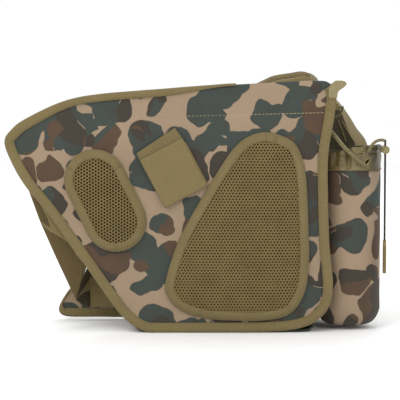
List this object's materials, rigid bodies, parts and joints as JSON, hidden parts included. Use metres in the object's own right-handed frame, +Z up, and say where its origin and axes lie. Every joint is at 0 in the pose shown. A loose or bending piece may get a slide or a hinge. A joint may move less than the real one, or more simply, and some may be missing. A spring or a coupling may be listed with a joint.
{
  "type": "sling field pack with bottle pocket",
  "caption": "Camouflage sling field pack seen from the body side, with mesh back pads, a webbing keeper, a side bottle pocket, a shoulder strap and a hinged flap.",
  "frame": {"origin": "centre of the bounding box in X and Y, at the base panel's underside, measured without the free cord and what is on it", "axes": "+X towards the bottle pocket, +Y away from the wearer, +Z up"},
  "size_m": [0.4084, 0.1234, 0.2783],
  "materials": {
    "camo": "duck camouflage print on matt woven polyester",
    "lining": "matt coated lining",
    "foam": "closed foam under the mesh",
    "binding": "matt olive grosgrain tape",
    "mesh": "matt olive spacer mesh with small hexagonal holes",
    "webbing": "matt ribbed olive webbing",
    "nylon": "slightly shiny gathered nylon",
    "cord": "matt olive braided cord",
    "elastic": "dark braided elastic",
    "hook_loop": "dark olive hook and loop tape",
    "zip": "olive coil zipper tape",
    "metal": "dark olive-bronze painted metal",
    "plastic": "moulded olive plastic"
  },
  "bodies": {
    "pack": {"back_fabric": "camo", "back_foam": "foam", "back_lining": "lining", "back_binding": "binding", "top_roll": "camo", "oval_mesh": "mesh", "oval_foam": "foam", "oval_binding": "binding", "lumbar_mesh": "mesh", "lumbar_foam": "foam", "lumbar_binding": "binding", "keeper_patch": "webbing", "keeper_band": "webbing", "base_panel": "camo", "left_gusset": "camo", "right_gusset": "camo", "front_panel": "camo", "flap_top": "camo", "loop_strip": "hook_loop", "organizer_pocket": "camo", "organizer_binding": "binding", "bottle_pocket": "camo", "pocket_collar": "nylon", "cinch_cord": "cord", "cinch_bight": "cord", "pull_cord": "elastic", "pull_tab": "webbing", "shoulder_pad": "mesh", "shoulder_webbing": "webbing", "buckle_female": "plastic", "buckle_male": "plastic", "anchor_tab": "webbing", "side_strap": "webbing", "d_ring_tab": "webbing"},
    "keeper_flap": {"keeper_flap": "webbing"},
    "flap": {"flap_leaf": "camo", "flap_binding": "binding", "hook_strip": "hook_loop", "zipper_tape": "zip", "zipper_coil": "zip", "zipper_stops": "metal"},
    "zip_slider": {"zipper_slider": "metal"},
    "zip_pull": {"zipper_pull": "metal"},
    "cord_lock": {"lock_barrel": "plastic", "lock_spring": "metal"},
    "lock_button": {"lock_plunger": "plastic"},
    "d_ring": {"d_ring": "metal"},
    "strap_slider": {"strap_slider": "plastic"}
  },
  "joints": [
    {"name": "keeper_flap_hinge", "type": "hinge", "parent": "pack", "child": "keeper_flap", "pos_m": [-0.03411, -0.05475, 0.19321], "axis": [-0.887, 0, -0.4617], "range_deg": [0, 120]},
    {"name": "flap_hinge", "type": "hinge", "parent": "pack", "child": "flap", "pos_m": [0.075, 0.05175, 0.2405], "axis": [1, 0, 0], "range_deg": [0, 130]},
    {"name": "zip_slide", "type": "slide", "parent": "flap", "child": "zip_slider", "axis": [-1, 0, 0], "range_m": [-0.006, 0.106]},
    {"name": "zip_pull_hinge", "type": "hinge", "parent": "zip_slider", "child": "zip_pull", "pos_m": [0.11, 0.05965, 0.178], "axis": [1, 0, 0], "range_deg": [0, 170]},
    {"name": "lock_slide", "type": "slide", "parent": "pack", "child": "cord_lock", "axis": [0, 0, -1], "range_m": [0, 0.06]},
    {"name": "lock_press", "type": "slide", "parent": "cord_lock", "child": "lock_button", "axis": [0, 1, 0], "range_m": [0, 0.004], "stiffness_N_per_m": 250, "springref_m": -0.004, "deforming": ["lock_spring"]},
    {"name": "ring_hinge", "type": "hinge", "parent": "pack", "child": "d_ring", "pos_m": [0.146, -0.04235, 0.24], "axis": [1, 0, 0], "range_deg": [0, 100]},
    {"name": "strap_slide", "type": "slide", "parent": "pack", "child": "strap_slider", "axis": [0, 0, 1], "range_m": [-0.03, 0.03]}
  ]
}
